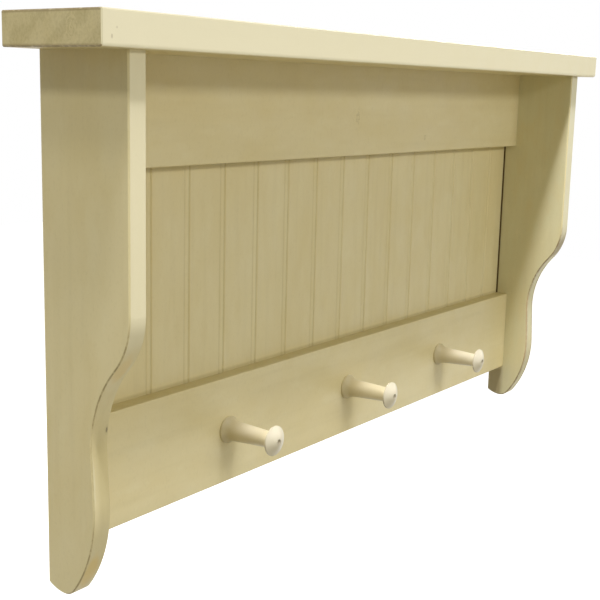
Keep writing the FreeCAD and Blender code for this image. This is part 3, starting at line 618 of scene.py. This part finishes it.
def make_hanger_screws():
    """The four screws of the hanger plates, as one piece in place of the plain ones."""
    corners, faces = [], []
    for x in (-hanger_offset, hanger_offset):
        for z in hanger_screw_heights:
            more_corners, more_faces = cross_screw(x, z)
            faces += [tuple(len(corners) + corner for corner in face) for face in more_faces]
            corners += more_corners
    piece = add_mesh("cross_screws", corners, faces, screw_steel)
    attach(piece, "root")
    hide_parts("hanger_screws")


make_hanger_screws()


# Tongues of the outermost boards, darkened with painted shade in the narrow gaps beside the end panels

def make_board_tongues():
    """Both tongues as one piece; each is a bar along the board's end, with a bevelled nose."""
    front, back, bevel = -0.0034, -0.0014, 0.0005
    shoulder, nose = board_end + 0.0014, board_end + 0.0020
    section = (
        (board_end, front),
        (shoulder, front),
        (nose, front + bevel),
        (nose, back - bevel),
        (shoulder, back),
        (board_end, back),
    )
    count = len(section)
    corners, faces = [], []
    for side in (-1, 1):
        first = len(corners)
        for z in (board_foot, board_head):
            corners += [(side * x, y, z) for x, y in section]
        loops = []
        for step in range(count):
            after = (step + 1) % count
            loops.append((step, after, count + after, count + step))
        loops.append(tuple(range(count))[::-1])
        loops.append(tuple(range(count, 2 * count)))
        for loop in loops:
            faces.append(tuple(first + corner for corner in loop[::side]))
    piece = add_mesh("board_tongues", corners, faces, board_coat)
    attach(piece, "root")


make_board_tongues()


# Camera

def aim_camera():
    """The photograph's viewpoint: left of the piece, looking right and a little down."""
    eye = Vector((-1.01565, -0.68372, 0.02186))
    yaw, pitch, roll = math.radians(54.228), math.radians(-10.734), math.radians(1.4106)
    ahead = Vector((math.sin(yaw) * math.cos(pitch), math.cos(yaw) * math.cos(pitch), math.sin(pitch)))
    level = Vector((math.cos(yaw), -math.sin(yaw), 0))
    upright = level.cross(ahead)
    right = math.cos(roll) * level + math.sin(roll) * upright
    top = math.cos(roll) * upright - math.sin(roll) * level
    data = bpy.data.cameras.new("camera")
    data.lens = 66.55
    data.sensor_width = 36.0
    camera = bpy.data.objects.new("camera", data)
    camera.matrix_world = Matrix((
        (right.x, top.x, -ahead.x, eye.x),
        (right.y, top.y, -ahead.y, eye.y),
        (right.z, top.z, -ahead.z, eye.z),
        (0, 0, 0, 1),
    ))
    bpy.context.scene.collection.objects.link(camera)
    bpy.context.scene.camera = camera


# Stage and light

lamps_aim = Vector((0, -0.05, -0.15))
floor_height = -1.2
floor_size = 14.0
floor_bounce = (0.41, 0.38, 0.30, 1)
lamp_distance = 3.0
ambient_tint = (0.98, 0.93, 0.72, 1)
ambient_strength = 0.32
cool = (0.98, 1.0, 1.1)


def shows_white(tree):
    """1 for rays that come from the camera, or see the background in or through a surface."""
    path = tree.nodes.new("ShaderNodeLightPath")
    total = path.outputs["Is Camera Ray"]
    for name in ("Is Glossy Ray", "Is Transmission Ray"):
        larger = tree.nodes.new("ShaderNodeMath")
        larger.operation = "MAXIMUM"
        tree.links.new(total, larger.inputs[0])
        tree.links.new(path.outputs[name], larger.inputs[1])
        total = larger.outputs[0]
    return total


def lay_floor():
    """A plain pale floor, well below the piece."""
    graph = Graph("floor")
    pale = graph.add("ShaderNodeBsdfDiffuse", {"Color": (0.8, 0.8, 0.8, 1)})
    from_centre = graph.distance((0, 0, floor_height), (1, 1, 1))
    strength = graph.spread(from_centre, 0.8, 3.0, 0.4, 0.9)
    glow = graph.add("ShaderNodeEmission", {"Color": (1, 1, 1, 1), "Strength": strength})
    white = graph.add("ShaderNodeAddShader", {0: pale.outputs[0], 1: glow.outputs[0]})
    warm = graph.add("ShaderNodeBsdfDiffuse", {"Color": floor_bounce})
    both = graph.add("ShaderNodeMixShader", {
        0: shows_white(graph.tree), 1: warm.outputs[0], 2: white.outputs[0],
    })
    graph.add("ShaderNodeOutputMaterial", {0: both.outputs[0]})
    half = floor_size / 2
    plan = ((-half, -half), (half, -half), (half, half), (-half, half))
    corners = [(x, y, floor_height) for x, y in plan]
    floor = add_mesh("floor", corners, [(0, 1, 2, 3)], graph.material)
    return floor


def lamp(name, towards, size, level, tint=(1, 1, 1), only=(), skip=()):
    """A softbox in a direction from the piece. Its level is how brightly it lights what faces it.
    It lights only some objects, or skips some, where those are given."""
    data = bpy.data.lights.new(name, "AREA")
    data.shape = "RECTANGLE"
    data.size, data.size_y = size
    data.energy = level * math.pi ** 2 * lamp_distance ** 2
    data.color = tint
    away = Vector(towards).normalized()
    item = bpy.data.objects.new(name, data)
    item.location = lamps_aim + away * lamp_distance
    item.rotation_mode = "QUATERNION"
    item.rotation_quaternion = away.to_track_quat("Z", "Y")
    item.visible_camera = False
    bpy.context.scene.collection.objects.link(item)
    if only or skip:
        lit = bpy.data.collections.new(name + "_lights")
        for lit_object in only or skip:
            lit.objects.link(lit_object)
        for member in lit.collection_objects:
            member.light_linking.link_state = "INCLUDE" if only else "EXCLUDE"
        item.light_linking.receiver_collection = lit


def light_world():
    """White behind the piece, and a soft even light around it."""
    world = bpy.data.worlds.new("studio")
    world.use_nodes = True
    tree = world.node_tree
    tree.nodes.clear()
    backdrop = tree.nodes.new("ShaderNodeBackground")
    backdrop.inputs[0].default_value = (1, 1, 1, 1)
    ambient = tree.nodes.new("ShaderNodeBackground")
    ambient.inputs[0].default_value = ambient_tint
    ambient.inputs[1].default_value = ambient_strength
    both = tree.nodes.new("ShaderNodeMixShader")
    tree.links.new(shows_white(tree), both.inputs[0])
    tree.links.new(ambient.outputs[0], both.inputs[1])
    tree.links.new(backdrop.outputs[0], both.inputs[2])
    output = tree.nodes.new("ShaderNodeOutputWorld")
    tree.links.new(both.outputs[0], output.inputs[0])
    bpy.context.scene.world = world


floor = lay_floor()
shelf = (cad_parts["shelf_board"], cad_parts["shelf_plugs"])
right_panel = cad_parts["right_end_panel"]
pegs = [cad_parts[side + "_peg"] for side in ("left", "middle", "right")]
lamp("overhead_left", (-0.3, -0.185, 1), (0.6, 0.1), 0.62, cool, skip=(*shelf, right_panel, floor))
lamp("right_panel_softbox", (-0.3, -0.2, 1), (0.22, 0.22), 0.64, cool, only=[right_panel])
lamp("overhead_middle", (0, -0.24, 1), (0.6, 0.1), 0.62, cool, skip=(*shelf, *pegs, floor))
lamp("peg_softbox", (0, -0.185, 1), (0.6, 0.1), 0.4, cool, only=pegs)
lamp("overhead_right", (0.35, -0.19, 1), (0.6, 0.1), 0.2, cool, skip=(*shelf, floor))
lamp("shelf_softbox", (-0.1, -1, 0.2), (0.8, 0.5), 0.27, cool, only=shelf)
lamp("front_softbox", (0.03, -1, 0.42), (2.4, 0.35), 0.24)
lamp("low_front_softbox", (0.1, -1, 0.02), (1.5, 1.0), 0.06)
lamp("left_softbox", (-1.2, -0.2, 1), (0.3, 0.3), 0.165)
lamp("upper_left_softbox", (-0.6, -0.08, 1), (0.4, 0.4), 0.16)
lamp("right_softbox", (1, -0.05, 0.6), (1.0, 1.0), 0.35)
lamp("back_softbox", (0.3, 1, 0.3), (1.5, 1.5), 0.5)

aim_camera()
light_world()
bpy.context.scene.view_settings.view_transform = "Standard"
